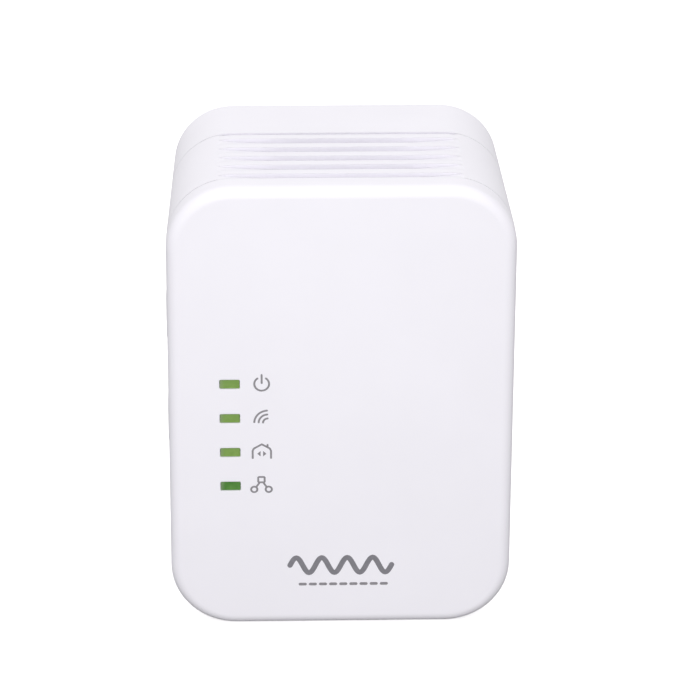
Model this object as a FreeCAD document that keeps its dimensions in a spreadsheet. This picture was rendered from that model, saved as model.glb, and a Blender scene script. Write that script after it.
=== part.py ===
import FreeCAD, Part
import Sketcher
import math
import os

# Wireless powerline adapter: a white three-part case that plugs straight into a wall socket.
# Frame: +Z up, the lit front panel faces -Y, the plug pins point along +Y, and the origin is
# midway between the two pins on the face of the plug boss that they come out of.
# In the helpers below x is measured from the middle of the case, depth from the front panel
# towards the wall, and z from mid-height of the case.

os.makedirs("parts", exist_ok=True)
doc = FreeCAD.newDocument("powerline_adapter")
sheet = doc.addObject("Spreadsheet::Sheet", "Dimensions")

DIMENSIONS = {
    # case
    "case_w": 60.0,
    "case_tall": 83.7,
    "case_depth": 45.0,
    "corner_r": 11.5,
    "wall": 2.0,
    "draft_deg": 1.45,
    "front_fillet": 1.9,
    "rear_fillet": 3.0,
    "front_end": 4.85,
    "mid_start": 5.05,
    "mid_end": 27.55,
    "rear_start": 27.72,
    "panel_wall": 2.0,
    "rear_wall": 2.4,
    "lip_thick": 1.0,
    "lip_long": 1.7,
    "lip_gap": 0.15,
    "snap_up": 20.0,
    "snap_long": 12.0,
    "snap_high": 0.45,
    # plug
    "boss_long": 17.5,
    "boss_r": 18.4,
    "boss_flat": 14.5,
    "boss_fit": 0.15,
    "flange_r": 20.0,
    "flange_thick": 2.0,
    "notch_w": 5.0,
    "notch_deep": 2.5,
    "earth_hole_r": 3.2,
    "earth_hole_up": 10.0,
    "earth_hole_deep": 16.0,
    "pin_r": 2.4,
    "pin_root_r": 2.1,
    "pin_out": 19.0,
    "pin_tail": 26.5,
    "pin_pitch": 19.0,
    "plug_rise": 12.0,
    # vents
    "groove_first": 5.75,
    "groove_pitch": 4.45,
    "groove_w": 2.4,
    "groove_deep": 1.2,
    "groove_sweep_r": 250.0,
    "slot_w": 0.75,
    "slot_long": 24.0,
    "bottom_slot_long": 12.0,
    "bottom_slot_x": -12.0,
    # indicator windows
    "window_w": 3.55,
    "window_tall": 1.75,
    "window_r": 0.25,
    "window_x": -19.35,
    "window_top": 5.5,
    "window_pitch": 6.55,
    "guide_gap": 0.08,
    "guide_inset": 0.15,
    # screws
    "tower_x": 21.0,
    "tower_up": 33.0,
    "tower_r": 3.2,
    "case_screw_r": 1.45,
    "case_screw_long": 13.0,
    "case_head_r": 2.6,
    "case_head_long": 2.0,
    "case_head_deep": 9.0,
    "board_screw_r": 1.1,
    "board_screw_long": 5.0,
    "board_head_r": 2.0,
    "board_head_long": 1.3,
    "thread_fit": 0.02,
    "hole_fit": 0.2,
    # boards
    "board_thick": 1.2,
    "main_front": 8.0,
    "main_w": 51.0,
    "main_tall": 75.0,
    "main_corner": 7.0,
    "power_front": 30.0,
    "power_thick": 1.6,
    "power_w": 46.0,
    "power_tall": 58.0,
    "sheet_thick": 0.4,
    "post_x": 19.0,
    "post_up": 25.0,
    "post_r": 2.4,
    # network socket
    "jack_x": 8.0,
    "jack_w": 16.0,
    "jack_deep": 13.5,
    "jack_long": 21.0,
    "jack_low": -41.2,
    "jack_fit": 0.25,
    "jack_skin": 0.25,
    "plug_w": 11.9,
    "plug_deep": 8.4,
    "plug_long": 13.0,
    # buttons
    "button_depth": 11.5,
    "button_w": 3.6,
    "button_tall": 9.0,
    "button_r": 1.6,
    "button_proud": 0.45,
    "button_fit": 0.25,
    "button_flange": 1.0,
    "button_stroke": 0.3,
    "pair_up": 14.0,
    "wifi_up": -6.0,
    "switch_size": 6.0,
    "switch_thick": 3.6,
    "switch_x": -25.3,
    "reset_up": -20.0,
    "reset_hole_r": 0.8,
    "reset_gap": 0.5,
    "stem_w": 3.0,
    "stem_thick": 1.6,
    "stem_fit": 0.12,
}

for row, (name, value) in enumerate(DIMENSIONS.items(), 1):
    sheet.set("A%d" % row, name)
    sheet.set("B%d" % row, str(value))
    sheet.setAlias("B%d" % row, name)
DERIVED = {
    "front_y": "=-(case_depth + boss_long)",
    "case_z": "=-plug_rise",
    "inner_front_w": "=case_w - 2 * wall",
    "inner_front_tall": "=case_tall - 2 * wall",
    "mid_shrink": "=(mid_end - mid_start) * tan(draft_deg * 1deg)",
    "rear_w": "=case_w - 2 * mid_shrink",
    "rear_tall": "=case_tall - 2 * mid_shrink",
    "rear_corner": "=corner_r - mid_shrink",
    "mid_inner_w": "=rear_w - 2 * wall",
    "mid_inner_tall": "=rear_tall - 2 * wall",
    "mid_inner_corner": "=rear_corner - wall",
    "main_back": "=main_front + board_thick",
    "power_back": "=power_front + power_thick",
    "inner_back": "=case_depth - rear_wall",
    "flange_x": "=mid_inner_w / 2 - lip_gap",
    "button_long": "=case_w / 2 - (button_depth - mid_start) * tan(draft_deg * 1deg) - flange_x"
                   " + button_proud",
    "pin_end": "=case_depth + boss_long - pin_tail",
}
for row, (name, rule) in enumerate(DERIVED.items(), len(DIMENSIONS) + 1):
    sheet.set("A%d" % row, name)
    sheet.set("B%d" % row, rule)
    sheet.setAlias("B%d" % row, name)
doc.recompute()

ALIASES = sorted(list(DIMENSIONS) + list(DERIVED), key=len, reverse=True)
NODES = []
ALONG_X = FreeCAD.Rotation(FreeCAD.Vector(0, 1, 0), 90)
ALONG_Y = FreeCAD.Rotation(FreeCAD.Vector(1, 0, 0), -90)
ALONG_Z = FreeCAD.Rotation()
scratch = doc.addObject("App::Placement", "Scratch")


def formula(text):
    """Turn alias arithmetic such as 'case_w - 2 * wall' into an expression on the sheet."""
    words = []
    word = ""
    for letter in str(text) + " ":
        if letter.isalnum() or letter in "_.":
            word += letter
            continue
        if word in ALIASES:
            word = "Dimensions." + word
        words.append(word + letter)
        word = ""
    return "".join(words).strip()


def value(text):
    """The number that the same arithmetic gives, used to draw a sketch near its final size."""
    scratch.setExpression("Placement.Base.x", formula(text))
    scratch.recompute()
    return scratch.Placement.Base.x


def bind(thing, prop, text):
    thing.setExpression(prop, formula(text))


def place(thing, x, depth, z, turn=ALONG_Z):
    thing.Placement = FreeCAD.Placement(FreeCAD.Vector(), turn)
    bind(thing, "Placement.Base.x", x)
    bind(thing, "Placement.Base.y", "front_y + (%s)" % depth)
    bind(thing, "Placement.Base.z", "case_z + (%s)" % z)
    return thing


def node(thing, label):
    thing.Label = label
    NODES.append(thing)
    return thing


# ---- primitives -----------------------------------------------------------------------------

def block(w, deep, tall, x, depth, z):
    """A box centred on x and z that starts at the given depth."""
    box = doc.addObject("Part::Box", "block")
    bind(box, "Length", w)
    bind(box, "Width", deep)
    bind(box, "Height", tall)
    return place(box, "%s - (%s) / 2" % (x, w), depth, "%s - (%s) / 2" % (z, tall))


def rod(r, long, x, depth, z, turn=ALONG_Y):
    """A cylinder that starts at the point and runs along the turned axis."""
    cylinder = doc.addObject("Part::Cylinder", "rod")
    bind(cylinder, "Radius", r)
    bind(cylinder, "Height", long)
    return place(cylinder, x, depth, z, turn)


def cut(base, *tools):
    for tool in tools:
        result = doc.addObject("Part::Cut", "cut")
        result.Base = base
        result.Tool = tool
        base = result
    return base


def fuse(*shapes):
    result = doc.addObject("Part::MultiFuse", "fuse")
    result.Shapes = list(shapes)
    return result


def group(*shapes):
    result = doc.addObject("Part::Compound", "group")
    result.Links = list(shapes)
    return result


def soften(base, radius, wanted):
    """Round the edges of a solid that the test picks."""
    doc.recompute()
    rounded = doc.addObject("Part::Fillet", "soften")
    rounded.Base = base
    picked = [i for i, edge in enumerate(base.Shape.Edges, 1) if wanted(edge)]
    rounded.Edges = [(i, radius, radius) for i in picked]
    return rounded


# ---- sketched bodies ------------------------------------------------------------------------

def new_body(label, x, depth, z):
    body = doc.addObject("PartDesign::Body", label)
    place(body, x, depth, z)
    return node(body, label)


def sketch(body, role, across="0", up="0", out="0"):
    drawing = body.newObject("Sketcher::SketchObject", "sketch")
    plane = next(item for item in body.Origin.OriginFeatures if item.Role == role)
    drawing.AttachmentSupport = (plane, [""])
    drawing.MapMode = "FlatFace"
    bind(drawing, "AttachmentOffset.Base.x", across)
    bind(drawing, "AttachmentOffset.Base.y", up)
    bind(drawing, "AttachmentOffset.Base.z", out)
    return drawing


def at_depth(body, depth, across="0", up="0"):
    """A sketch parallel to the front panel. Its plane's own normal points at the viewer."""
    return sketch(body, "XZ_Plane", across, up, "-(%s)" % depth)


def dimension(drawing, kind, name, text, *where):
    index = drawing.addConstraint(Sketcher.Constraint(kind, *where, value(text)))
    drawing.renameConstraint(index, name)
    drawing.setExpression("Constraints." + name, formula(text))


def rounded(drawing, w, tall, r):
    """A rounded rectangle centred on the sketch origin."""
    half_w = value(w) / 2
    half_tall = value(tall) / 2
    radius = value(r)
    flat_x = half_w - radius
    flat_z = half_tall - radius
    vec = FreeCAD.Vector
    sides = [
        ((-flat_x, -half_tall), (flat_x, -half_tall)),
        ((half_w, -flat_z), (half_w, flat_z)),
        ((flat_x, half_tall), (-flat_x, half_tall)),
        ((-half_w, flat_z), (-half_w, -flat_z)),
    ]
    centres = [(flat_x, -flat_z), (flat_x, flat_z), (-flat_x, flat_z), (-flat_x, -flat_z)]
    for i in range(4):
        start, end = sides[i]
        drawing.addGeometry(Part.LineSegment(vec(*start, 0), vec(*end, 0)))
        circle = Part.Circle(vec(*centres[i], 0), vec(0, 0, 1), radius)
        begin = math.radians(90 * i - 90)
        drawing.addGeometry(Part.ArcOfCircle(circle, begin, begin + math.pi / 2))
    for i in range(4):
        line, arc, following = 2 * i, 2 * i + 1, (2 * i + 2) % 8
        drawing.addConstraint(Sketcher.Constraint("Tangent", line, 2, arc, 1))
        drawing.addConstraint(Sketcher.Constraint("Tangent", arc, 2, following, 1))
    drawing.addConstraint(Sketcher.Constraint("Horizontal", 0))
    drawing.addConstraint(Sketcher.Constraint("Vertical", 2))
    drawing.addConstraint(Sketcher.Constraint("Horizontal", 4))
    drawing.addConstraint(Sketcher.Constraint("Vertical", 6))
    for arc in (3, 5, 7):
        drawing.addConstraint(Sketcher.Constraint("Equal", 1, arc))
    drawing.addConstraint(Sketcher.Constraint("Symmetric", 0, 1, 4, 1, -1, 1))
    dimension(drawing, "Radius", "radius", r, 1)
    dimension(drawing, "DistanceX", "width", w, 6, 1, 2, 1)
    dimension(drawing, "DistanceY", "height", tall, 0, 1, 4, 1)
    return drawing


def disc(drawing, r):
    """A circle centred on the sketch origin."""
    centre = FreeCAD.Vector(0, 0, 0)
    drawing.addGeometry(Part.Circle(centre, FreeCAD.Vector(0, 0, 1), value(r)))
    drawing.addConstraint(Sketcher.Constraint("Coincident", 0, 3, -1, 1))
    dimension(drawing, "Radius", "radius", r, 0)
    return drawing


def pad(body, drawing, long, back=True, taper=None):
    """Material from the sketch towards the wall, or towards the viewer with back=False."""
    feature = body.newObject("PartDesign::Pad", "pad")
    feature.Profile = drawing
    bind(feature, "Length", long)
    feature.Reversed = back
    if taper:
        bind(feature, "TaperAngle", taper)
    doc.recompute()
    return feature


def pocket(body, drawing, long, back=True):
    """A cut from the sketch towards the wall, or towards the viewer with back=False."""
    before = body.Shape.Volume
    feature = body.newObject("PartDesign::Pocket", "pocket")
    feature.Profile = drawing
    bind(feature, "Length", long)
    feature.Reversed = not back
    doc.recompute()
    if body.Shape.Volume > before - 1e-3:
        raise RuntimeError("pocket cuts nothing in " + body.Label)
    return feature


def round_edges(body, feature, radius, wanted):
    picked = ["Edge%d" % i for i, edge in enumerate(feature.Shape.Edges, 1) if wanted(edge)]
    fillet = body.newObject("PartDesign::Fillet", "fillet")
    fillet.Base = (feature, picked)
    bind(fillet, "Radius", radius)
    doc.recompute()
    return fillet


def repeat(body, features, drawing, axis, long, count, back=False):
    """Copies of one feature in a row."""
    pattern = body.newObject("PartDesign::LinearPattern", "pattern")
    pattern.Originals = features
    pattern.Direction = (drawing, [axis])
    pattern.Reversed = back
    bind(pattern, "Length", long)
    pattern.Occurrences = count
    body.Tip = pattern
    doc.recompute()
    return pattern


def all_at(depth):
    return lambda edge: all(abs(point.Y - depth) < 1e-4 for point in edge.Vertexes)


CORNERS = ((-1, -1), (1, -1), (-1, 1), (1, 1))


# ---- case -----------------------------------------------------------------------------------

def make_front_cover():
    body = new_body("front_cover", "0", "0", "0")
    outer = pad(body, rounded(at_depth(body, "0"), "case_w", "case_tall", "corner_r"), "front_end")
    round_edges(body, outer, "front_fillet", all_at(0))
    lip = rounded(at_depth(body, "front_end - 1"), "inner_front_w", "inner_front_tall",
                  "corner_r - wall")
    pad(body, lip, "lip_long + 1")
    hollow = rounded(at_depth(body, "front_end + lip_long"), "inner_front_w - 2 * lip_thick",
                     "inner_front_tall - 2 * lip_thick", "corner_r - wall - lip_thick")
    pocket(body, hollow, "front_end + lip_long - panel_wall", back=False)
    for side, level in CORNERS:
        rib = at_depth(body, "front_end + 0.6", "%d * inner_front_w / 2" % side,
                       "%d * snap_up" % level)
        pad(body, rounded(rib, "2 * snap_high", "snap_long", "0.1"), "0.7")
    window = rounded(at_depth(body, "0", "window_x", "window_top"), "window_w", "window_tall",
                     "window_r")
    opening = pocket(body, window, "panel_wall + 1")
    repeat(body, [opening], window, "V_Axis", "3 * window_pitch", 4, back=True)
    return body


def make_main_housing():
    body = new_body("main_housing", "0", "mid_start", "0")
    long = "mid_end - mid_start"
    outer = rounded(at_depth(body, "0"), "case_w", "case_tall", "corner_r")
    pad(body, outer, long, taper="-draft_deg")
    hollow = rounded(at_depth(body, "0"), "mid_inner_w", "mid_inner_tall", "mid_inner_corner")
    pocket(body, hollow, long)
    seat = rounded(at_depth(body, "0"), "inner_front_w + 2 * lip_gap",
                   "inner_front_tall + 2 * lip_gap", "corner_r - wall + lip_gap")
    pocket(body, seat, "lip_long - mid_start + front_end + lip_gap")
    for side, level in CORNERS:
        notch = at_depth(body, "0", "%d * (inner_front_w / 2 + lip_gap)" % side,
                         "%d * snap_up" % level)
        notch.setExpression("AttachmentOffset.Base.z", formula("-(front_end - mid_start + 0.45)"))
        pocket(body, rounded(notch, "2 * snap_high + 0.3", "snap_long + 0.6", "0.1"), "1")
    add_towers(body)
    cut_vents(body)
    cut_housing_openings(body)
    return body


def add_towers(body):
    """Screw towers in the corners, tied to the side walls by a web. Boards and covers screw in."""
    front = "main_back - mid_start"
    long = "mid_end - main_back"
    for side, level in CORNERS:
        x = "%d * tower_x" % side
        z = "%d * tower_up" % level
        pad(body, disc(at_depth(body, front, x, z), "tower_r"), long)
        web = rounded(at_depth(body, front, "%d * (tower_x + mid_inner_w / 2 + 0.6) / 2" % side, z),
                      "mid_inner_w / 2 + 0.6 - tower_x", "1.6", "0.1")
        pad(body, web, long + " - lip_long - 0.4")
    for side, level in CORNERS:
        x = "%d * tower_x" % side
        z = "%d * tower_up" % level
        nose = disc(at_depth(body, front, x, z), "board_screw_r + thread_fit")
        pocket(body, nose, "board_screw_long")
        tail = disc(at_depth(body, "mid_end - mid_start", x, z), "case_screw_r + thread_fit")
        pocket(body, tail, "9", back=False)


def cut_vents(body):
    """Six shallow swept grooves across the top, the outer two running into the seams and the
    others with a slot through the floor, and slots through the bottom beside the socket."""
    for i in range(6):
        inwards = "(groove_first + %d * groove_pitch - mid_start)" % i
        centre = "case_tall / 2 - groove_deep + groove_sweep_r - %s * tan(draft_deg * 1deg)" % inwards
        sweep = at_depth(body, inwards + " - groove_w / 2", "0", centre)
        pocket(body, disc(sweep, "groove_sweep_r"), "groove_w")
    slot_start = "groove_first + groove_pitch - mid_start - slot_w / 2"
    slot = rounded(at_depth(body, slot_start, "0", "case_tall / 2"), "slot_long", "2 * wall + 4",
                   "0.2")
    vent = pocket(body, slot, "slot_w")
    repeat(body, [vent], slot, "N_Axis", "3 * groove_pitch", 4, back=True)
    low = rounded(at_depth(body, slot_start + " + groove_pitch", "bottom_slot_x", "-case_tall / 2"),
                  "bottom_slot_long", "2 * wall + 4", "0.2")
    vent = pocket(body, low, "slot_w")
    repeat(body, [vent], low, "N_Axis", "2 * groove_pitch", 3, back=True)


def cut_housing_openings(body):
    """The network socket below, and two button holes and the reset pin-hole in the left wall."""
    centre = "main_back + jack_deep / 2 - mid_start"
    mouth = sketch(body, "XY_Plane", "jack_x", centre, "-(case_tall / 2 + 1)")
    rounded(mouth, "jack_w + 2 * jack_fit", "jack_deep + 2 * jack_fit", "0.4")
    pocket(body, mouth, "wall + 3", back=False)
    pinhole = sketch(body, "YZ_Plane", "button_depth - mid_start", "reset_up",
                     "-(case_w / 2 + 1)")
    pocket(body, disc(pinhole, "reset_hole_r"), "wall + 3", back=False)
    for level in ("pair_up", "wifi_up"):
        hole = sketch(body, "YZ_Plane", "button_depth - mid_start", level, "-(case_w / 2 + 1)")
        rounded(hole, "button_w + 2 * button_fit", "button_tall + 2 * button_fit",
                "button_r + button_fit")
        pocket(body, hole, "wall + 3", back=False)


def make_rear_cover():
    body = new_body("rear_cover", "0", "rear_start", "0")
    long = "case_depth - rear_start"
    outer = pad(body, rounded(at_depth(body, "0"), "rear_w", "rear_tall", "rear_corner"), long,
                taper="-draft_deg")
    round_edges(body, outer, "rear_fillet", all_at(value(long)))
    lip = rounded(at_depth(body, "1"), "mid_inner_w - 2 * lip_gap", "mid_inner_tall - 2 * lip_gap",
                  "mid_inner_corner - lip_gap")
    pad(body, lip, "lip_long + 1", back=False)
    hollow = rounded(at_depth(body, "-lip_long"), "mid_inner_w - 2 * lip_gap - 2 * lip_thick",
                     "mid_inner_tall - 2 * lip_gap - 2 * lip_thick",
                     "mid_inner_corner - lip_gap - lip_thick")
    pocket(body, hollow, "lip_long + inner_back - rear_start")
    for side, level in CORNERS:
        x = "%d * tower_x" % side
        z = "%d * tower_up" % level
        front = "mid_end + 0.05 - rear_start"
        pad(body, disc(at_depth(body, front, x, z), "tower_r"), "inner_back - mid_end - 0.05 + 0.5")
        x_post = "%d * post_x" % side
        z_post = "%d * post_up" % level
        post = disc(at_depth(body, "power_back + sheet_thick - rear_start", x_post, z_post), "post_r")
        pad(body, post, "inner_back - power_back - sheet_thick + 0.5")
    for side, level in CORNERS:
        x = "%d * tower_x" % side
        z = "%d * tower_up" % level
        well = disc(at_depth(body, long, x, z), "case_head_r + hole_fit")
        pocket(body, well, "case_head_deep", back=False)
        bore = disc(at_depth(body, long, x, z), "case_screw_r + hole_fit")
        pocket(body, bore, "case_depth - mid_end", back=False)
        x_post = "%d * post_x" % side
        z_post = "%d * post_up" % level
        thread = disc(at_depth(body, "power_back + sheet_thick - rear_start", x_post, z_post),
                      "board_screw_r + thread_fit")
        pocket(body, thread, "board_screw_long")
    outline = rounded(at_depth(body, long, "0", "plug_rise"), "2 * (boss_r + boss_fit)",
                      "2 * (boss_flat + boss_fit)", "boss_flat - 0.5")
    pocket(body, outline, "rear_wall + 0.5", back=False)
    recess = rounded(at_depth(body, long, "0", "-24"), "32.4", "14.4", "1.2")
    pocket(body, recess, "0.15", back=False)
    return body


def make_plug_boss():
    """The round moulding that fills the wall socket, with a flange caught inside the case."""
    base = "inner_back - flange_thick"
    full = rounded_block("2 * boss_r", "2 * boss_flat", "boss_flat - 0.5", "inner_back",
                         "case_depth - inner_back + boss_long")
    flange = rod("flange_r", "flange_thick", "0", base, "plug_rise")
    body = fuse(full, flange)
    tools = []
    for side in (-1, 1):
        tools.append(block("2 * notch_deep", "boss_long + 1", "notch_w", "%d * boss_r" % side,
                           "case_depth + 2", "plug_rise"))
        tools.append(rod("pin_root_r", "case_depth + boss_long", "%d * pin_pitch / 2" % side,
                         base + " - 1", "plug_rise"))
    tools.append(rod("earth_hole_r", "earth_hole_deep + 1", "0",
                     "case_depth + boss_long - earth_hole_deep", "plug_rise + earth_hole_up"))
    tools.append(block("22", "15", "7", "0", base + " - 1", "plug_rise - 8.5"))
    return node(cut(body, *tools), "plug_boss")


def rounded_block(w, tall, r, depth, long):
    """A prism along the plug axis with a rounded-rectangle section."""
    body = doc.addObject("PartDesign::Body", "prism")
    place(body, "0", depth, "plug_rise")
    prism = pad(body, rounded(at_depth(body, "0"), w, tall, r), long)
    round_edges(body, prism, "1", all_at(value(long)))
    return body


def make_pin(side, label):
    """A solid round pin with a domed tip. Its narrower root runs through the boss to the contact
    spring, and its shoulder sits on the face of the boss."""
    x = "%d * pin_pitch / 2" % side
    root = rod("pin_root_r", "pin_tail + 1", x, "pin_end", "plug_rise")
    shank = rod("pin_r", "pin_out - pin_r", x, "case_depth + boss_long", "plug_rise")
    tip = doc.addObject("Part::Sphere", "tip")
    bind(tip, "Radius", "pin_r")
    place(tip, x, "case_depth + boss_long + pin_out - pin_r", "plug_rise")
    return node(fuse(root, shank, tip), label)


def make_contact(side, label):
    """A bent spring strip soldered to the power board that presses on the end of a pin."""
    x = "%d * pin_pitch / 2" % side
    foot = block("6", "0.4", "5", x, "power_back", "plug_rise - 3")
    riser = block("6", "pin_end - power_back", "0.4", x, "power_back", "plug_rise - 5.3")
    blade = block("6", "0.4", "8", x, "pin_end - 0.4", "plug_rise - 1.5")
    return node(fuse(foot, riser, blade), label)


def make_case_screws():
    screws = []
    for side, level in CORNERS:
        x = "%d * tower_x" % side
        z = "%d * tower_up" % level
        seat = "case_depth - case_head_deep"
        shank = rod("case_screw_r", "case_screw_long", x, seat + " - case_screw_long", z)
        head = rod("case_head_r", "case_head_long", x, seat, z)
        recess = block("0.8", "1.2", "3", x, seat + " + case_head_long - 1.1", z)
        cross = block("3", "1.2", "0.8", x, seat + " + case_head_long - 1.1", z)
        screws.append(cut(fuse(shank, head), recess, cross))
    return node(group(*screws), "case_screws")


def board_screw(x, z, face):
    head = rod("board_head_r", "board_head_long", x, face + " - board_head_long", z)
    shank = rod("board_screw_r", "board_screw_long", x, face, z)
    recess = block("0.6", "0.9", "2.2", x, face + " - board_head_long - 0.1", z)
    cross = block("2.2", "0.9", "0.6", x, face + " - board_head_long - 0.1", z)
    return cut(fuse(head, shank), recess, cross)


def make_board_screws():
    screws = []
    for side, level in CORNERS:
        screws.append(board_screw("%d * tower_x" % side, "%d * tower_up" % level, "main_front"))
        screws.append(board_screw("%d * post_x" % side, "%d * post_up" % level, "power_front"))
    return node(group(*screws), "board_screws")


def make_rating_label():
    label = block("32", "0.15", "14", "0", "case_depth - 0.15", "-24")
    return node(soften(label, 1.0, lambda edge: edge.Length < 0.2), "rating_label")


# ---- boards ---------------------------------------------------------------------------------

def make_board(label, w, tall, corner, depth, thick, holes):
    body = new_body(label, "0", depth, "0")
    pad(body, rounded(at_depth(body, "0"), w, tall, corner), thick)
    for x, z, r in holes:
        pocket(body, disc(at_depth(body, "0", x, z), r), thick)
    return body


def make_boards():
    bore = "board_screw_r + thread_fit + 0.1"
    towers = [("%d * tower_x" % a, "%d * tower_up" % b, bore) for a, b in CORNERS]
    posts = [("%d * post_x" % a, "%d * post_up" % b, bore) for a, b in CORNERS]
    make_board("main_board", "main_w", "main_tall", "main_corner", "main_front", "board_thick",
               towers)
    make_board("power_board", "power_w", "power_tall", "1", "power_front", "power_thick", posts)
    sheet_body = make_board("insulation_sheet", "power_w - 0.4", "power_tall - 0.4", "1",
                            "power_back", "sheet_thick", posts)
    for side in (-1, 1):
        gap = rounded(at_depth(sheet_body, "0", "%d * pin_pitch / 2" % side, "plug_rise - 3"), "8",
                      "8", "0.5")
        pocket(sheet_body, gap, "sheet_thick")


def make_board_connector():
    """A stacking header: a shroud on each board, joined by a row of square pins."""
    x, z = "-8", "-26.5"
    long = "power_front - main_back"
    low = block("13", "8", "4.6", x, "main_back", z)
    high = block("13", "5", "4.6", x, "power_front - 5", z)
    pins = [block("0.64", long, "0.64", "%s + %.2f" % (x, 2.2 * (i - 2)), "main_back", z)
            for i in range(5)]
    return node(fuse(low, high, *pins), "board_connector")


# ---- indicators and buttons -----------------------------------------------------------------

def make_light_guide():
    """Four clear fingers on one spine, carrying light from the board to the panel windows."""
    fingers = []
    w = "window_w - 2 * guide_gap"
    tall = "window_tall - 2 * guide_gap"
    for i in range(4):
        z = "window_top - %d * window_pitch" % i
        fingers.append(block(w, "6.8 - guide_inset", tall, "window_x", "guide_inset", z))
    spine = block("1.4", "1.6", "3 * window_pitch", "window_x", "panel_wall",
                  "window_top - 1.5 * window_pitch")
    return node(fuse(spine, *fingers), "light_guide")


def make_status_leds():
    leds = [block("1.6", "0.8", "0.8", "window_x", "main_front - 0.8",
                  "window_top - %d * window_pitch" % i) for i in range(4)]
    return node(group(*leds), "status_leds")


def make_side_button(label, level):
    """A cap through the left wall with a flange that stops it falling out."""
    body = new_body(label, "-flange_x", "button_depth", level)
    cap = sketch(body, "YZ_Plane", "0", "0", "0")
    rounded(cap, "button_w", "button_tall", "button_r")
    shaft = pad(body, cap, "button_long", back=True)
    crown = -value("button_long")
    round_edges(body, shaft, "0.35",
                lambda edge: all(abs(point.X - crown) < 1e-4 for point in edge.Vertexes))
    flange = sketch(body, "YZ_Plane", "0", "0", "0")
    rounded(flange, "button_w + 1.6", "button_tall + 3", "button_r")
    pad(body, flange, "button_flange", back=False)
    return body


def make_side_switch(name, level, rest):
    """A side-push switch on the board: a fixed body, and the stem that is pressed from rest."""
    base = block("4", "switch_thick", "switch_size", "switch_x + 2", "main_back", level)
    well = block("2.6", "stem_thick + 2 * stem_fit", "stem_w + 2 * stem_fit", "switch_x + 1.3 - 0.2",
                 "button_depth - stem_thick / 2 - stem_fit", level)
    node(cut(base, well), name + "_switch_body")
    long = "(switch_x + 1.6 - (%s))" % rest
    stem = block(long, "stem_thick", "stem_w", "%s + %s / 2" % (rest, long),
                 "button_depth - stem_thick / 2", level)
    node(stem, name + "_switch_stem")


# ---- network socket -------------------------------------------------------------------------

def make_network_socket():
    z_mid = "jack_low + jack_long / 2"
    w_in = "jack_w - 2 * jack_skin"
    deep_in = "jack_deep - 2 * jack_skin"
    shell = block("jack_w", "jack_deep", "jack_long", "jack_x", "main_back", z_mid)
    room = block(w_in, deep_in, "jack_long", "jack_x", "main_back + jack_skin",
                 z_mid + " - jack_skin")
    node(cut(shell, room), "socket_shield")
    z_core = "jack_low + (jack_long - jack_skin) / 2"
    core = block(w_in, deep_in, "jack_long - jack_skin", "jack_x", "main_back + jack_skin", z_core)
    mouth = block("plug_w", "plug_deep", "plug_long + 1", "jack_x",
                  "main_back + (jack_deep - plug_deep) / 2",
                  "jack_low + plug_long / 2 - 0.5")
    latch = block("6.2", "2", "plug_long - 3", "jack_x",
                  "main_back + (jack_deep + plug_deep) / 2 - 0.1", "jack_low + plug_long / 2 - 2")
    node(cut(core, mouth, latch), "socket_core")
    wires = [block("0.4", "0.4", "plug_long - 4", "jack_x + %.2f" % (1.02 * (i - 3.5)),
                   "main_back + (jack_deep - plug_deep) / 2",
                   "jack_low + plug_long - (plug_long - 4) / 2") for i in range(8)]
    node(group(*wires), "socket_contacts")


# ---- electronics ----------------------------------------------------------------------------

def on_power(w, deep, tall, x, z):
    """A component that stands on the front face of the power board."""
    return block(w, deep, tall, x, "power_front - (%s)" % deep, z)


def on_main(w, deep, tall, x, z, lift="0"):
    """A component on the back face of the main board."""
    return block(w, deep, tall, x, "main_back + (%s)" % lift, z)


def can(r, long, x, z):
    """An electrolytic capacitor on the power board, with a rounded shoulder."""
    shape = rod(r, long, x, "power_front - (%s)" % long, z)
    return soften(shape, 0.6, lambda edge: edge.Closed)


def make_transformer():
    """A wound bobbin on an E core, whose legs run from the yoke in front down to the board."""
    x = "9"
    up = "2"
    channels = ["9 + %.1f" % (6.3 * side) for side in (-1, 1)]
    start = "power_front - 13.2"
    spool = fuse(on_power("15", "1.2", "14", x, up), block("15", "1.2", "14", x, start, up),
                 block("7", "13.2", "7", x, start, up))
    bobbin = cut(spool, block("5.2", "13.2", "5.2", x, start, up),
                 *[block("2.6", "13.2", "5.2", channel, start, up) for channel in channels])
    node(bobbin, "transformer_bobbin")
    ring = cut(block("15", "9.6", "13", x, "power_front - 12", up),
               block("7", "9.6", "7", x, "power_front - 12", up),
               *[block("2.6", "9.6", "5.2", channel, "power_front - 12", up)
                 for channel in channels])
    node(ring, "transformer_winding")
    yoke = block("15", "2.2", "5", x, "power_front - 15.4", up)
    legs = [block("2.4", "13", "5", channel, start, up) for channel in channels]
    node(fuse(yoke, block("5", "13", "5", x, start, up), *legs), "transformer_core")


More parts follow.
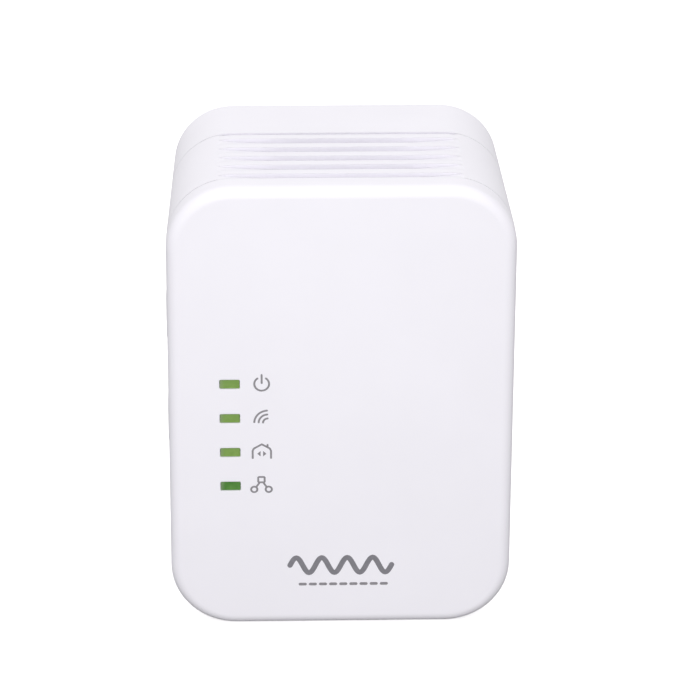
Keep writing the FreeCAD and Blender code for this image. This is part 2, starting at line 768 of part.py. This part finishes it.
def make_power_parts():
    node(group(can("5", "14", "-15", "-16"), can("5", "14", "-15", "-4")), "bulk_capacitors")
    node(group(can("4", "12", "3", "-14"), can("4", "12", "13", "-14")), "output_capacitors")
    make_transformer()
    node(soften(on_power("17", "12", "7", "-6", "23"), 0.6, lambda edge: edge.Length > 6.5),
         "filter_capacitor")
    coil = rod("6.5", "8", "9", "power_front - 9", "19.5")
    hole = rod("2.6", "8", "9", "power_front - 9", "19.5")
    node(cut(coil, hole), "choke_winding")
    node(fuse(rod("2.6", "9", "9", "power_front - 9", "19.5"),
              rod("6", "1", "9", "power_front - 1", "19.5")), "choke_core")
    node(rod("2.2", "9", "-20", "power_front - 2.4", "14.5", ALONG_X), "mains_fuse")
    node(rod("5", "3.6", "18.5", "power_front - 5.2", "8", ALONG_X), "varistor")
    node(on_power("6", "3", "6.4", "-18", "7"), "bridge_rectifier")
    core = on_power("9", "7", "2.2", "-6.5", "10")
    low = on_power("9", "7", "2.2", "-6.5", "3.8")
    arm = block("9", "1.6", "8.4", "-6.5", "power_front - 8.6", "6.9")
    node(fuse(core, low, arm), "coupling_core")
    node(on_power("6.5", "6.6", "3.6", "-6.5", "6.9"), "coupling_winding")


def make_main_parts():
    node(on_main("14", "1.4", "14", "-8", "-10"), "powerline_chip")
    node(on_main("12", "0.4", "12", "-8", "-10", "1.4"), "thermal_pad")
    fins = [block("17", "2.6", "1", "-9.5", "main_back + 2.8", "-10 + %.1f" % (3.8 * (i - 2)))
            for i in range(5)]
    plate = on_main("17", "1.2", "18", "-9.5", "-10", "1.8")
    node(fuse(plate, *fins), "heat_sink")
    node(on_main("10", "1", "10", "7", "12"), "wifi_chip")
    node(on_main("11", "1", "8", "-8", "12"), "memory_chip")
    node(on_main("16", "5.5", "8", "8", "-13.5"), "network_transformer")
    node(on_main("5", "1", "3.2", "7", "1"), "crystal")
    for side, label in ((-1, "left_antenna"), (1, "right_antenna")):
        foot = on_main("3", "0.4", "4", "%d * 4" % side, "32")
        stem = on_main("3", "5", "0.4", "%d * 4" % side, "34.2")
        blade = block("12", "0.4", "5", "%d * 8.5" % side, "main_back + 4.6", "31.9")
        node(fuse(foot, stem, blade), label)


# ---- build, check and write -----------------------------------------------------------------

make_front_cover()
make_main_housing()
make_rear_cover()
make_plug_boss()
make_pin(-1, "left_pin")
make_pin(1, "right_pin")
make_contact(-1, "left_contact")
make_contact(1, "right_contact")
make_case_screws()
make_board_screws()
make_rating_label()
make_boards()
make_board_connector()
make_light_guide()
make_status_leds()
make_side_button("pair_button", "pair_up")
make_side_button("wifi_button", "wifi_up")
make_side_switch("pair", "pair_up", "-flange_x + button_flange")
make_side_switch("wifi", "wifi_up", "-flange_x + button_flange")
make_side_switch("reset", "reset_up", "-flange_x + reset_gap")
make_network_socket()
make_power_parts()
make_main_parts()
doc.recompute()

for item in doc.Objects:
    if "Invalid" in item.State or "Error" in item.State:
        raise RuntimeError("%s is %s" % (item.Label, item.State))
for item in NODES:
    shape = item.Shape
    if shape.isNull() or not shape.isValid() or not shape.Solids:
        raise RuntimeError("bad shape in " + item.Label)
    shape.exportStep("parts/%s.step" % item.Label)
    box = shape.BoundBox
    print("%-20s %d solids %9.1f mm3  x %7.2f %7.2f  y %7.2f %7.2f  z %7.2f %7.2f" % (
        item.Label, len(shape.Solids), shape.Volume, box.XMin, box.XMax, box.YMin, box.YMax,
        box.ZMin, box.ZMax))
print(len(NODES), "nodes")
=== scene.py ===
import math

import bmesh
import bpy
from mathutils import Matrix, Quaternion, Vector


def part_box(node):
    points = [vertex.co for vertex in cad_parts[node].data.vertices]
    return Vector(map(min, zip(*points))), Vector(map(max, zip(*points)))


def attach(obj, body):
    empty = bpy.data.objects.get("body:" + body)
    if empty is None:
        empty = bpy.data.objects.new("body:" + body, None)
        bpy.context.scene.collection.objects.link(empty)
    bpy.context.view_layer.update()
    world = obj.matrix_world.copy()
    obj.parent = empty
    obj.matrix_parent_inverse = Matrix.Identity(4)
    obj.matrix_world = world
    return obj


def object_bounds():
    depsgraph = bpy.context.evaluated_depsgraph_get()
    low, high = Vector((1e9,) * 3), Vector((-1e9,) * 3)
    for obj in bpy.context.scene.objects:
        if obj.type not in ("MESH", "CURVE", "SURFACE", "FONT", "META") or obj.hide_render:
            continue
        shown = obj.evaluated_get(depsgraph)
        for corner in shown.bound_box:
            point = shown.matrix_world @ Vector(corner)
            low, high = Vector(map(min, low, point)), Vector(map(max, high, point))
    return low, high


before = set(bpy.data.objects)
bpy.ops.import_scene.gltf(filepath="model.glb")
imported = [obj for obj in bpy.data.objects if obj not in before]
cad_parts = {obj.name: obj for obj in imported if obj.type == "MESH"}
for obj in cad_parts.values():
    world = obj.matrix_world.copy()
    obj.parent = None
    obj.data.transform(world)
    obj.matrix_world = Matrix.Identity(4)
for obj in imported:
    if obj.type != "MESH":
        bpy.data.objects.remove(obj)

# Looks of a white wireless powerline adapter: moulded plastics, metals and boards for the CAD
# nodes, printed symbols on the panel, a pale floor, soft light and the camera.
# In the helpers below, sizes are in millimetres, and x and z are measured from the middle of the
# front panel.

MM = 0.001
CAD_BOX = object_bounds()
COVER_LOW, COVER_HIGH = (Vector(corner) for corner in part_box("front_cover"))
GUIDE_LOW, GUIDE_HIGH = (Vector(corner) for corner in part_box("light_guide"))
PANEL_MIDDLE = (COVER_LOW + COVER_HIGH) / 2
PANEL_MIDDLE.y = COVER_LOW.y
WINDOWS = 4
# Half the height of one window.
WINDOW_HALF = 0.8
# The share of a window's width over which its left end turns pale, and how pale it gets.
PALE_SHARE = 0.22
PALE_MOST = 0.55

# Sockets of a colour mix node.
MIX_FACTOR, MIX_FIRST, MIX_SECOND, MIX_RESULT = 0, 6, 7, 2


# ---- materials ------------------------------------------------------------------------------

def blank_material(name):
    """A new material, with its nodes and links."""
    material = bpy.data.materials.new(name)
    material.use_nodes = True
    return material, material.node_tree.nodes, material.node_tree.links


def noise(nodes, links, size, detail=2.0, stretch=None):
    """Noise whose blotches are about the given size in millimetres."""
    place = nodes.new("ShaderNodeTexCoord")
    source = place.outputs["Object"]
    if stretch:
        mapping = nodes.new("ShaderNodeMapping")
        mapping.inputs["Scale"].default_value = stretch
        links.new(source, mapping.inputs["Vector"])
        source = mapping.outputs["Vector"]
    texture = nodes.new("ShaderNodeTexNoise")
    texture.inputs["Scale"].default_value = 1 / (size * MM)
    texture.inputs["Detail"].default_value = detail
    links.new(source, texture.inputs["Vector"])
    return texture.outputs["Fac"]


def spread(nodes, links, source, low, high, start=0.3, stop=0.7):
    """Map a value that runs from start to stop onto low to high, held at both ends."""
    ranged = nodes.new("ShaderNodeMapRange")
    ranged.inputs["From Min"].default_value = start
    ranged.inputs["From Max"].default_value = stop
    ranged.inputs["To Min"].default_value = low
    ranged.inputs["To Max"].default_value = high
    links.new(source, ranged.inputs["Value"])
    return ranged.outputs["Result"]


def scaled(nodes, links, first, second):
    """The product of two values."""
    product = nodes.new("ShaderNodeMath")
    product.operation = "MULTIPLY"
    links.new(first, product.inputs[0])
    links.new(second, product.inputs[1])
    return product.outputs[0]


def blended(nodes, links, factor, first, second):
    """A blend of two colours, each a plain colour or the output of a node."""
    mix = nodes.new("ShaderNodeMix")
    mix.data_type = "RGBA"
    links.new(factor, mix.inputs[MIX_FACTOR])
    for socket, colour in ((MIX_FIRST, first), (MIX_SECOND, second)):
        if isinstance(colour, tuple):
            mix.inputs[socket].default_value = (*colour, 1)
        else:
            links.new(colour, mix.inputs[socket])
    return mix.outputs[MIX_RESULT]


def shade(colour, by):
    """The colour made darker or lighter, kept at or below full white."""
    return tuple(min(1.0, part * by) for part in colour)


def surface(name, colour, roughness, metallic=0.0, grain=0.3, depth=0.004, mottle=0.04,
            mottle_size=9.0, rough_swing=0.05, edge=0.0, stretch=None, specular=0.5):
    """A finish with fine grain in its bump, uneven gloss and slight mottling of its colour."""
    material, nodes, links = blank_material(name)
    shader = nodes["Principled BSDF"]
    shader.inputs["Metallic"].default_value = metallic
    shader.inputs["Specular IOR Level"].default_value = specular
    blotches = spread(nodes, links, noise(nodes, links, mottle_size, 3.0, stretch), 0.0, 1.0)
    dark, light = shade(colour, 1 - mottle), shade(colour, 1 + mottle / 2)
    links.new(blended(nodes, links, blotches, dark, light), shader.inputs["Base Color"])
    patches = noise(nodes, links, mottle_size * 0.4, 4.0, stretch)
    links.new(spread(nodes, links, patches, roughness - rough_swing, roughness + rough_swing),
              shader.inputs["Roughness"])
    bump = nodes.new("ShaderNodeBump")
    bump.inputs["Distance"].default_value = depth * MM
    links.new(noise(nodes, links, grain, 2.0, stretch), bump.inputs["Height"])
    if edge:
        bevel = nodes.new("ShaderNodeBevel")
        bevel.samples = 6
        bevel.inputs["Radius"].default_value = edge * MM
        links.new(bevel.outputs["Normal"], bump.inputs["Normal"])
    links.new(bump.outputs["Normal"], shader.inputs["Normal"])
    return material


def lit_window():
    """Clear moulding lit green from behind: the lowest window deeper in colour, and each paler
    at its left end."""
    material, nodes, links = blank_material("window_green")
    shader = nodes["Principled BSDF"]
    shader.inputs["Roughness"].default_value = 0.28
    place = nodes.new("ShaderNodeTexCoord")
    parts = nodes.new("ShaderNodeSeparateXYZ")
    links.new(place.outputs["Object"], parts.inputs["Vector"])
    blotches = spread(nodes, links, noise(nodes, links, 1.1, 3.0), 0.0, 1.0)
    bright = blended(nodes, links, blotches, (0.128, 0.228, 0.046), (0.158, 0.262, 0.062))
    deep = blended(nodes, links, blotches, (0.044, 0.150, 0.020), (0.075, 0.195, 0.036))
    row = (GUIDE_HIGH.z - GUIDE_LOW.z) / WINDOWS
    lowest = nodes.new("ShaderNodeMath")
    lowest.operation = "LESS_THAN"
    lowest.inputs[1].default_value = GUIDE_LOW.z + row / 2
    links.new(parts.outputs["Z"], lowest.inputs[0])
    green = blended(nodes, links, lowest.outputs[0], bright, deep)
    inner_end = GUIDE_LOW.x + (GUIDE_HIGH.x - GUIDE_LOW.x) * PALE_SHARE
    end = spread(nodes, links, parts.outputs["X"], PALE_MOST, 0.0, GUIDE_LOW.x, inner_end)
    lit = blended(nodes, links, end, green, (0.21, 0.25, 0.17))
    links.new(lit, shader.inputs["Base Color"])
    links.new(lit, shader.inputs["Emission Color"])
    shader.inputs["Emission Strength"].default_value = 0.35
    return material


def circuit_board():
    """Green solder mask over faint straight tracks."""
    material, nodes, links = blank_material("solder_mask")
    shader = nodes["Principled BSDF"]
    shader.inputs["Roughness"].default_value = 0.35
    place = nodes.new("ShaderNodeTexCoord")
    tracks = nodes.new("ShaderNodeTexBrick")
    tracks.inputs["Scale"].default_value = 180.0
    tracks.inputs["Mortar Size"].default_value = 0.035
    tracks.inputs["Color1"].default_value = (0.020, 0.115, 0.045, 1)
    tracks.inputs["Color2"].default_value = (0.026, 0.135, 0.052, 1)
    tracks.inputs["Mortar"].default_value = (0.045, 0.200, 0.085, 1)
    turned = nodes.new("ShaderNodeMapping")
    turned.inputs["Rotation"].default_value = (math.radians(90), 0, 0)
    links.new(place.outputs["Object"], turned.inputs["Vector"])
    links.new(turned.outputs["Vector"], tracks.inputs["Vector"])
    links.new(tracks.outputs["Color"], shader.inputs["Base Color"])
    bump = nodes.new("ShaderNodeBump")
    bump.inputs["Distance"].default_value = 0.03 * MM
    links.new(tracks.outputs["Fac"], bump.inputs["Height"])
    links.new(bump.outputs["Normal"], shader.inputs["Normal"])
    return material


case = surface("case_white", (0.908, 0.893, 0.948), 0.42, grain=0.35, depth=0.0035, mottle=0.012,
               mottle_size=14.0, rough_swing=0.04, edge=0.22, specular=0.35)
plug = surface("plug_white", (0.80, 0.79, 0.81), 0.52, grain=0.30, depth=0.008, mottle=0.03,
               edge=0.2)
keys = surface("key_white", (0.76, 0.76, 0.79), 0.36, grain=0.25, depth=0.003, mottle=0.02, edge=0.15)
nickel = surface("nickel_plate", (0.66, 0.64, 0.60), 0.22, metallic=1.0, grain=0.12, depth=0.0015,
                 mottle=0.10, mottle_size=3.0, rough_swing=0.07, edge=0.15, stretch=(1, 0.06, 1))
zinc = surface("zinc_plate", (0.58, 0.60, 0.63), 0.34, metallic=1.0, grain=0.10, depth=0.003,
               mottle=0.18, mottle_size=0.9, rough_swing=0.10, edge=0.1)
tin = surface("tin_plate", (0.64, 0.65, 0.66), 0.30, metallic=1.0, grain=0.10, depth=0.002,
              mottle=0.12, mottle_size=2.5, rough_swing=0.10, stretch=(1, 1, 0.15))
gold = surface("gold_flash", (0.78, 0.56, 0.20), 0.24, metallic=1.0, grain=0.08, depth=0.001,
               mottle=0.10, mottle_size=1.0)
bronze = surface("spring_bronze", (0.60, 0.38, 0.18), 0.32, metallic=1.0, grain=0.10, depth=0.002,
                 mottle=0.15, mottle_size=1.6)
film = surface("label_film", (0.60, 0.61, 0.63), 0.58, grain=0.15, depth=0.003, mottle=0.05,
               mottle_size=4.0)
black = surface("black_moulding", (0.016, 0.016, 0.018), 0.48, grain=0.20, depth=0.006, mottle=0.25,
                mottle_size=3.0, edge=0.08)
natural = surface("natural_nylon", (0.55, 0.51, 0.40), 0.50, grain=0.2, depth=0.004, mottle=0.10)
sleeve = surface("shrink_sleeve", (0.016, 0.030, 0.085), 0.30, grain=0.5, depth=0.006, mottle=0.25,
                 mottle_size=3.0)
ferrite = surface("fired_ferrite", (0.035, 0.035, 0.038), 0.62, grain=0.12, depth=0.010, mottle=0.30,
                  mottle_size=1.5)
copper = surface("enamelled_copper", (0.50, 0.16, 0.05), 0.30, metallic=0.8, grain=0.28, depth=0.05,
                 mottle=0.20, mottle_size=0.8, stretch=(0.1, 1, 0.1))
tape = surface("polyester_tape", (0.68, 0.45, 0.04), 0.32, grain=0.8, depth=0.01, mottle=0.12,
               mottle_size=2.0, stretch=(0.2, 1, 0.2))
epoxy = surface("blue_epoxy", (0.02, 0.08, 0.26), 0.34, grain=0.9, depth=0.03, mottle=0.2,
                mottle_size=2.0)
brown = surface("brown_moulding", (0.06, 0.028, 0.015), 0.38, grain=0.3, depth=0.005, mottle=0.2)
aluminium = surface("anodised_aluminium", (0.55, 0.56, 0.57), 0.36, metallic=1.0, grain=0.15,
                    depth=0.004, mottle=0.10, mottle_size=1.5, stretch=(0.05, 1, 1))
pad = surface("gap_pad", (0.20, 0.25, 0.30), 0.75, grain=0.25, depth=0.015, mottle=0.10)
insulator = surface("insulating_film", (0.66, 0.62, 0.44), 0.45, grain=0.6, depth=0.01, mottle=0.06)
lamp = surface("lamp_lens", (0.72, 0.72, 0.45), 0.25, grain=0.1, depth=0.002, mottle=0.05)
board = circuit_board()

FINISHES = {
    case: ("front_cover", "main_housing", "rear_cover"),
    plug: ("plug_boss",),
    keys: ("pair_button", "wifi_button"),
    nickel: ("left_pin", "right_pin"),
    zinc: ("case_screws", "board_screws"),
    tin: ("socket_shield", "crystal", "left_antenna", "right_antenna"),
    gold: ("socket_contacts",),
    bronze: ("left_contact", "right_contact"),
    film: ("rating_label",),
    black: ("socket_core", "board_connector", "pair_switch_body", "wifi_switch_body",
            "reset_switch_body", "transformer_bobbin", "bridge_rectifier", "powerline_chip",
            "wifi_chip", "memory_chip", "network_transformer"),
    natural: ("pair_switch_stem", "wifi_switch_stem", "reset_switch_stem"),
    sleeve: ("bulk_capacitors", "output_capacitors"),
    ferrite: ("transformer_core", "choke_core", "coupling_core"),
    copper: ("choke_winding", "coupling_winding"),
    tape: ("transformer_winding", "filter_capacitor"),
    epoxy: ("varistor",),
    brown: ("mains_fuse",),
    aluminium: ("heat_sink",),
    pad: ("thermal_pad",),
    insulator: ("insulation_sheet",),
    lamp: ("status_leds",),
    board: ("main_board", "power_board"),
    lit_window(): ("light_guide",),
}
for finish, names in FINISHES.items():
    for name in names:
        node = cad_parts[name]
        for slot in node.material_slots:
            slot.material = finish
        if not node.material_slots:
            node.data.materials.append(finish)


# ---- printed symbols ------------------------------------------------------------------------

# How far the ink stands off a face. Each line of a symbol lies one layer, as a share of this
# height, above the line before, so that no two coincide.
INK_LIFT = 0.012
LAYER = 0.2
# Points nearer to each other than this, in metres, are one point.
SAME_POINT = 1e-7

SYMBOL_X = -13.95
STROKE = 0.34
KEY_STROKE = 0.24
BORDER_STROKE = 0.18

WAVE_WIDE = 18.0
WAVE_HIGH = 1.5
WAVE_CRESTS = 4
WAVE_STEPS = 96
WAVE_STROKE = 0.95
WAVE_LEVEL = -29.93
DASHES = 9
DASH = 0.9
DASH_PITCH = 1.8
DASH_STROKE = 0.55
DASH_LEVEL = -33.7


def arc(x, z, radius, start, stop, steps=28):
    """Points along a circle, angles in degrees from +X towards +Z."""
    angles = [math.radians(start + (stop - start) * i / steps) for i in range(steps + 1)]
    return [(x + radius * math.cos(angle), z + radius * math.sin(angle)) for angle in angles]


def offsets(points, half, closed):
    """The two edges of a line of the given half width, mitred at its corners."""
    left, right = [], []
    count = len(points)
    for i, (x, z) in enumerate(points):
        before = points[i - 1] if i or closed else points[i]
        after = points[(i + 1) % count] if i < count - 1 or closed else points[i]
        inward = Vector((x - before[0], z - before[1]))
        outward = Vector((after[0] - x, after[1] - z))
        inward = inward.normalized() if inward.length else outward.normalized()
        outward = outward.normalized() if outward.length else inward
        normal = Vector((-inward.y - outward.y, inward.x + outward.x)).normalized()
        reach = half / max(0.5, normal.dot(Vector((-outward.y, outward.x))))
        left.append((x + normal.x * reach, z + normal.y * reach))
        right.append((x - normal.x * reach, z - normal.y * reach))
    return left, right


def cap(points, end, half, steps=6):
    """A half-round end for an open line."""
    tip, inner = (points[-1], points[-2]) if end else (points[0], points[1])
    heading = math.atan2(tip[1] - inner[1], tip[0] - inner[0])
    turn = 1 if end else -1
    angles = [heading + turn * (math.pi / 2 - math.pi * i / steps) for i in range(1, steps)]
    return [(tip[0] + half * math.cos(a), tip[1] + half * math.sin(a)) for a in angles]


def print_on(name, symbol, place, material, width=STROKE, body="case"):
    """Ink lines and filled outlines on a flat face. place turns (x, z) into a point on it."""
    lines, fills = symbol
    mesh = bpy.data.meshes.new(name)
    work = bmesh.new()

    def face(outline, lift=1.0):
        corners = [work.verts.new(place(x, z, lift)) for x, z in outline]
        return work.faces.new(corners)

    for layer, (points, closed) in enumerate(lines):
        lift = 1 + LAYER * layer
        left, right = offsets(points, width / 2, closed)
        if closed:
            for i in range(len(points)):
                j = (i + 1) % len(points)
                face([left[i], left[j], right[j], right[i]], lift)
            continue
        end = cap(points, True, width / 2)
        start = cap(points, False, width / 2)
        face(left + end + right[::-1] + start[::-1], lift)
    for outline in fills:
        face(outline)
    bmesh.ops.remove_doubles(work, verts=work.verts, dist=SAME_POINT)
    bmesh.ops.triangulate(work, faces=work.faces)
    bmesh.ops.recalc_face_normals(work, faces=work.faces)
    outwards = place(0, 0, 1.0) - place(0, 0, 0.0)
    wrong = [f for f in work.faces if f.normal.dot(outwards) < 0]
    bmesh.ops.reverse_faces(work, faces=wrong)
    work.to_mesh(mesh)
    work.free()
    mesh.materials.append(material)
    piece = bpy.data.objects.new(name, mesh)
    bpy.context.collection.objects.link(piece)
    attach(piece, body)


def on_panel(x, z, lift=1.0):
    """A point just proud of the front panel."""
    return PANEL_MIDDLE + Vector((x * MM, -INK_LIFT * lift * MM, z * MM))


def power_symbol(x, z):
    """A ring open at the top, with an upright stroke in the gap."""
    ring = arc(x, z - 0.22, 1.28, 125, 415)
    return [(ring, False), ([(x, z - 0.05), (x, z + 1.5)], False)], []


def wireless_symbol(x, z):
    """Three quarter-ring waves that spread up and to the left."""
    centre = (x + 1.2, z - 1.22)
    lines = [(arc(*centre, radius, 94, 176), False) for radius in (0.86, 1.62, 2.38)]
    return lines, []


def home_symbol(x, z):
    """A house with a chimney, and two arrowheads that point apart inside it."""
    outline = [(x - 1.6, z - 1.35), (x - 1.6, z + 0.05), (x - 1.38, z + 0.5), (x, z + 1.3),
               (x + 1.38, z + 0.5), (x + 1.6, z + 0.05), (x + 1.6, z - 1.35)]
    chimney = [(x + 1.0, z + 0.75), (x + 1.0, z + 1.2)]
    arrows = [[(x + s * 0.80, z - 0.52), (x + s * 0.22, z + 0.0), (x + s * 0.22, z - 1.04)]
              for s in (-1, 1)]
    return [(outline, False), (chimney, False)], arrows


def network_symbol(x, z):
    """A box above, joined by two lines to a ring on either side below."""
    corners = ((-0.56, 0.58), (-0.44, 0.46), (0.44, 0.46), (0.56, 0.58),
               (0.56, 1.38), (0.44, 1.50), (-0.44, 1.50), (-0.56, 1.38))
    top = [(x + across, z + up) for across, up in corners]
    rings = [(arc(x + s * 1.27, z - 0.92, 0.54, 0, 345, 23), True) for s in (-1, 1)]
    links = [([(x + s * 0.36, z + 0.36), (x + s * 0.84, z - 0.34)], False) for s in (-1, 1)]
    return [(top, True), *rings, *links], []


def pair_symbol(x, z):
    """Two arrows that chase each other round a ring."""
    rings = [(arc(x, z, 0.85, start, start + 118), False) for start in (30, 210)]
    heads = []
    for s in (-1, 1):
        tip = (x - s * 0.30, z + s * 0.80)
        heads.append([(tip[0] - s * 0.45, tip[1] - s * 0.10), (tip[0] + s * 0.12, tip[1] + s * 0.42),
                      (tip[0] + s * 0.12, tip[1] - s * 0.50)])
    return rings, heads


def border(half_w, half_tall, r):
    """A rounded rectangle centred on the face."""
    corners = ((1, 1, 0), (-1, 1, 90), (-1, -1, 180), (1, -1, 270))
    points = []
    for across, up, start in corners:
        points += arc(across * (half_w - r), up * (half_tall - r), r, start, start + 90, 6)
    return [(points, True)], []


def print_panel():
    """A symbol beside each window, and a plain wave over a dashed rule low on the panel."""
    top = GUIDE_HIGH.z - PANEL_MIDDLE.z - WINDOW_HALF * MM
    bottom = GUIDE_LOW.z - PANEL_MIDDLE.z + WINDOW_HALF * MM
    rows = [(top + (bottom - top) * i / (WINDOWS - 1)) / MM for i in range(WINDOWS)]
    symbols = (("power_symbol", power_symbol, 0.15, 0.28),
               ("wireless_symbol", wireless_symbol, 0.0, 0.35),
               ("home_symbol", home_symbol, 0.10, 0.25),
               ("network_symbol", network_symbol, 0.0, 0.25))
    for row, (name, draw, right, rise) in zip(rows, symbols):
        print_on(name, draw(SYMBOL_X + right, row + rise), on_panel, SYMBOL_INK)
    shares = [i / WAVE_STEPS for i in range(WAVE_STEPS + 1)]
    wave = [(WAVE_WIDE * (share - 0.5),
             WAVE_LEVEL + WAVE_HIGH * math.sin(share * WAVE_CRESTS * 2 * math.pi)) for share in shares]
    print_on("wave_mark", ([(wave, False)], []), on_panel, MARK_INK, WAVE_STROKE)
    starts = [DASH_PITCH * (i - (DASHES - 1) / 2) for i in range(DASHES)]
    dashes = [([(start, DASH_LEVEL), (start + DASH, DASH_LEVEL)], False) for start in starts]
    print_on("dashed_rule", (dashes, []), on_panel, SYMBOL_INK, DASH_STROKE)


AXIS_X, AXIS_Y = 0, 1


def facing(node, axis, sign):
    """Places points just proud of the outer face of a flat-faced node, seen from outside."""
    low, high = (Vector(corner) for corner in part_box(node))
    middle = (low + high) / 2
    middle[axis] = (high if sign > 0 else low)[axis]
    outward = Vector((0, 0, 0))
    outward[axis] = sign
    across = Vector((0, 0, 1)).cross(outward)

    def place(x, z, lift=1.0):
        return middle + across * (x * MM) + Vector((0, 0, z * MM)) + outward * (INK_LIFT * lift * MM)
    return place


def print_other_faces():
    """A small symbol on each side key and a border round the blank label."""
    print_on("pair_key_symbol", pair_symbol(0, 0), facing("pair_button", AXIS_X, -1), SYMBOL_INK,
             KEY_STROKE, "pair_key")
    print_on("wifi_key_symbol", wireless_symbol(-0.05, -0.1), facing("wifi_button", AXIS_X, -1),
             SYMBOL_INK, KEY_STROKE, "wifi_key")
    print_on("label_border", border(15.1, 6.1, 0.8), facing("rating_label", AXIS_Y, 1), MARK_INK,
             BORDER_STROKE)


SYMBOL_INK = surface("symbol_ink", (0.275, 0.265, 0.285), 0.6, grain=0.08, depth=0.002, mottle=0.12,
                     mottle_size=0.6)
MARK_INK = surface("mark_ink", (0.225, 0.220, 0.245), 0.5, grain=0.08, depth=0.002, mottle=0.10,
                   mottle_size=0.8)
print_panel()
print_other_faces()


# ---- floor, light and camera ----------------------------------------------------------------

# Half the width of the floor in metres, and its gap to the case in millimetres.
FLOOR_REACH = 6.0
FLOOR_GAP = 0.05
FLOOR_GLOW = 0.6

# How bright the sky is at a given height, from straight down (-1) to straight up (1).
SKY = ((-1.0, 0.03), (-0.48, 0.05), (-0.30, 0.95), (0.0, 1.06), (1.0, 1.32))
# How much of it is lost straight to either side, at the horizon and higher up.
LOW_SIDE_FADE = 0.27
HIGH_SIDE_FADE = 1.0
HIGH_ENOUGH = 0.7
# How much brighter it is in front and on the left.
FRONT_GAIN = 0.12
LEFT_GAIN = 0.07

# The key light and the camera stand this far from the middle of the panel, in millimetres.
KEY_PLACE = (-5, -130, 50)
KEY_TARGET = (0, 0, 30)
KEY_SIZE = 100
KEY_POWER = 0.049
CAMERA_PLACE = (-16.0, -555.2, 264.3)
LENS = 182.2
SENSOR = 36.0
# Where the camera looks, in degrees from straight along +Y.
CAMERA_DOWN = 24.44
CAMERA_RIGHT = 1.80
CAMERA_ROLL = 0.27


def make_floor():
    """A wide white floor that neither shades nor lights the case."""
    mesh = bpy.data.meshes.new("floor")
    height = CAD_BOX[0][2] - FLOOR_GAP * MM
    corners = [(across * FLOOR_REACH, along * FLOOR_REACH, height)
               for across, along in ((-1, -1), (1, -1), (1, 1), (-1, 1))]
    mesh.from_pydata(corners, [], [(0, 1, 2, 3)])
    floor = bpy.data.objects.new("floor", mesh)
    bpy.context.collection.objects.link(floor)
    mesh.materials.append(surface("floor_white", (0.97, 0.965, 0.97), 0.9, grain=3.0, depth=0.01,
                                  mottle=0.004, mottle_size=200.0, specular=0.0))
    glow = mesh.materials[0].node_tree.nodes["Principled BSDF"]
    glow.inputs["Emission Color"].default_value = (1, 0.99, 1, 1)
    glow.inputs["Emission Strength"].default_value = FLOOR_GLOW
    floor.visible_diffuse = False
    floor.visible_glossy = False


def make_world():
    """Bright above and in front, dimmer towards the sides, dark underneath."""
    world = bpy.data.worlds.new("studio")
    bpy.context.scene.world = world
    world.use_nodes = True
    nodes, links = world.node_tree.nodes, world.node_tree.links
    place = nodes.new("ShaderNodeTexCoord")
    parts = nodes.new("ShaderNodeSeparateXYZ")
    links.new(place.outputs["Generated"], parts.inputs["Vector"])
    height = nodes.new("ShaderNodeFloatCurve")
    curve = height.mapping.curves[0]
    brightest = max(glow for level, glow in SKY)
    ready = len(curve.points)
    for i, (level, glow) in enumerate(SKY):
        where = ((level + 1) / 2, glow / brightest)
        if i < ready:
            curve.points[i].location = where
        else:
            curve.points.new(*where)
    for point in curve.points:
        point.handle_type = "VECTOR"
    height.mapping.update()
    links.new(spread(nodes, links, parts.outputs["Z"], 0.0, 1.0, -1.0, 1.0), height.inputs["Value"])
    across = scaled(nodes, links, parts.outputs["X"], parts.outputs["X"])
    share = spread(nodes, links, parts.outputs["Z"], LOW_SIDE_FADE, HIGH_SIDE_FADE, 0.0, HIGH_ENOUGH)
    fade = spread(nodes, links, scaled(nodes, links, across, share), brightest, 0.0, 0.0, 1.0)
    front = spread(nodes, links, parts.outputs["Y"], 1 + FRONT_GAIN, 1 - FRONT_GAIN, -1.0, 1.0)
    left = spread(nodes, links, parts.outputs["X"], 1 + LEFT_GAIN, 1 - LEFT_GAIN, -1.0, 1.0)
    tilt = scaled(nodes, links, front, left)
    background = nodes["Background"]
    background.inputs["Color"].default_value = (1.0, 0.995, 1.0, 1)
    strength = scaled(nodes, links, scaled(nodes, links, height.outputs["Value"], fade), tilt)
    links.new(strength, background.inputs["Strength"])


def make_key_light():
    """A small soft light in front of the upper half of the panel."""
    light = bpy.data.lights.new("key", "AREA")
    light.size = KEY_SIZE * MM
    light.energy = KEY_POWER
    key = bpy.data.objects.new("key", light)
    bpy.context.collection.objects.link(key)
    key.location = PANEL_MIDDLE + Vector(KEY_PLACE) * MM
    key.visible_camera = False
    aim = Vector(KEY_TARGET) - Vector(KEY_PLACE)
    key.rotation_euler = aim.to_track_quat("-Z", "Y").to_euler()


def make_camera():
    """A long lens from above the front, a little left of the middle."""
    data = bpy.data.cameras.new("camera")
    data.sensor_width = SENSOR
    data.lens = LENS
    camera = bpy.data.objects.new("camera", data)
    bpy.context.collection.objects.link(camera)
    camera.location = PANEL_MIDDLE + Vector(CAMERA_PLACE) * MM
    pitch, yaw, roll = (math.radians(angle) for angle in (CAMERA_DOWN, CAMERA_RIGHT, CAMERA_ROLL))
    looking = Vector((math.sin(yaw) * math.cos(pitch), math.cos(yaw) * math.cos(pitch),
                      -math.sin(pitch)))
    level = looking.to_track_quat("-Z", "Y")
    camera.rotation_euler = (level @ Quaternion((0, 0, 1), roll)).to_euler()
    bpy.context.scene.camera = camera


make_floor()
make_world()
make_key_light()
make_camera()
bpy.context.scene.view_settings.view_transform = "Standard"
